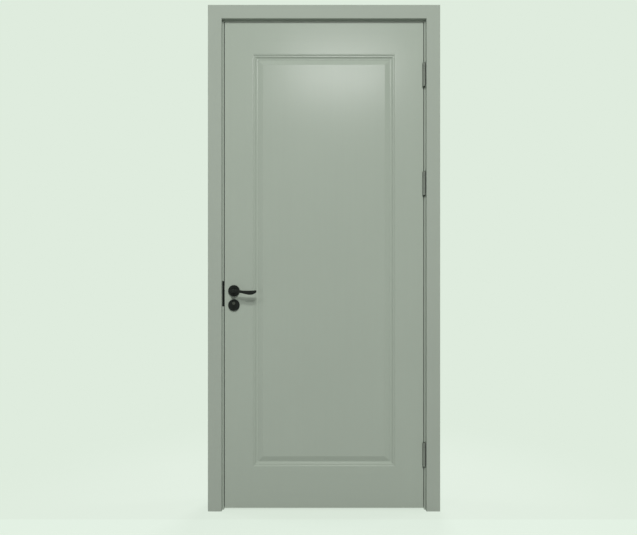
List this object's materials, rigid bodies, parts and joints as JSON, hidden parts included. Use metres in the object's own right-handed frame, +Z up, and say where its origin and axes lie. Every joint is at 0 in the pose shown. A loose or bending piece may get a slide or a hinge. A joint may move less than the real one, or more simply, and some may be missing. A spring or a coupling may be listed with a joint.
{
  "type": "interior door with frame",
  "caption": "Painted interior door with a raised panel, hung on butt hinges in a lined frame with mitred casings, with lever handles and a mortise lock.",
  "frame": {"origin": "on the floor, in the middle of the whole outline with the door shut", "axes": "+X to the hinge side, +Y through the wall away from the side that the door opens to, +Z up"},
  "size_m": [0.972, 0.197, 2.119],
  "materials": {
    "paint": "satin grey-green paint on wood",
    "black_metal": "matt black coat",
    "hinge_steel": "satin",
    "lock_steel": "zinc plated",
    "cylinder_brass": "satin nickel plate",
    "seal_rubber": "matt",
    "box_plastic": "matt"
  },
  "bodies": {
    "frame": {"hinge_jamb": "paint", "strike_jamb": "paint", "head_jamb": "paint", "front_hinge_casing": "paint", "front_strike_casing": "paint", "front_head_casing": "paint", "rear_hinge_casing": "paint", "rear_strike_casing": "paint", "rear_head_casing": "paint", "hinge_stop": "paint", "strike_stop": "paint", "head_stop": "paint", "frame_seal": "seal_rubber", "strike_plate": "black_metal", "strike_box": "box_plastic", "top_hinge_frame_leaf": "hinge_steel", "middle_hinge_frame_leaf": "hinge_steel", "bottom_hinge_frame_leaf": "hinge_steel", "top_hinge_pin": "hinge_steel", "middle_hinge_pin": "hinge_steel", "bottom_hinge_pin": "hinge_steel"},
    "leaf": {"lock_stile": "paint", "hinge_stile": "paint", "top_rail": "paint", "bottom_rail": "paint", "panel": "paint", "front_lock_bead": "paint", "front_hinge_bead": "paint", "front_top_bead": "paint", "front_bottom_bead": "paint", "rear_lock_bead": "paint", "rear_hinge_bead": "paint", "rear_top_bead": "paint", "rear_bottom_bead": "paint", "top_hinge_door_leaf": "hinge_steel", "middle_hinge_door_leaf": "hinge_steel", "bottom_hinge_door_leaf": "hinge_steel", "lock_case": "lock_steel", "lock_cover": "lock_steel", "lock_faceplate": "black_metal", "front_lever_rose": "black_metal", "rear_lever_rose": "black_metal", "front_key_rose": "black_metal", "rear_turn_rose": "black_metal", "cylinder_body": "cylinder_brass", "key_plug": "cylinder_brass"},
    "handle": {"front_lever": "black_metal", "rear_lever": "black_metal", "spindle": "lock_steel", "follower": "lock_steel"},
    "latch": {"latch_bolt": "lock_steel"},
    "turn": {"thumb_turn": "black_metal", "cylinder_cam": "lock_steel"},
    "bolt": {"deadbolt": "lock_steel"}
  },
  "joints": [
    {"name": "door_swing", "type": "hinge", "parent": "frame", "child": "leaf", "pos_m": [0.4205, -0.0485, 1], "axis": [0, 0, 1], "range_deg": [0, 140]},
    {"name": "lever_turn", "type": "hinge", "parent": "leaf", "child": "handle", "pos_m": [-0.379, -0.0215, 0.922], "axis": [0, 1, 0], "range_deg": [0, 40], "stiffness_Nm_per_rad": 1.2, "springref_deg": -20.05},
    {"name": "latch_slide", "type": "slide", "parent": "leaf", "child": "latch", "axis": [1, 0, 0], "range_m": [0, 0.011]},
    {"name": "thumb_turn", "type": "hinge", "parent": "leaf", "child": "turn", "pos_m": [-0.379, -0.0215, 0.87], "axis": [0, -1, 0], "range_deg": [0, 90]},
    {"name": "deadbolt_slide", "type": "slide", "parent": "leaf", "child": "bolt", "axis": [-1, 0, 0], "range_m": [0, 0.014]}
  ],
  "couplings": [
    {"joint": "latch_slide", "follows": "lever_turn", "m_per_rad": 0.015755},
    {"joint": "thumb_turn", "follows": "deadbolt_slide", "rad_per_m": 112.19}
  ]
}
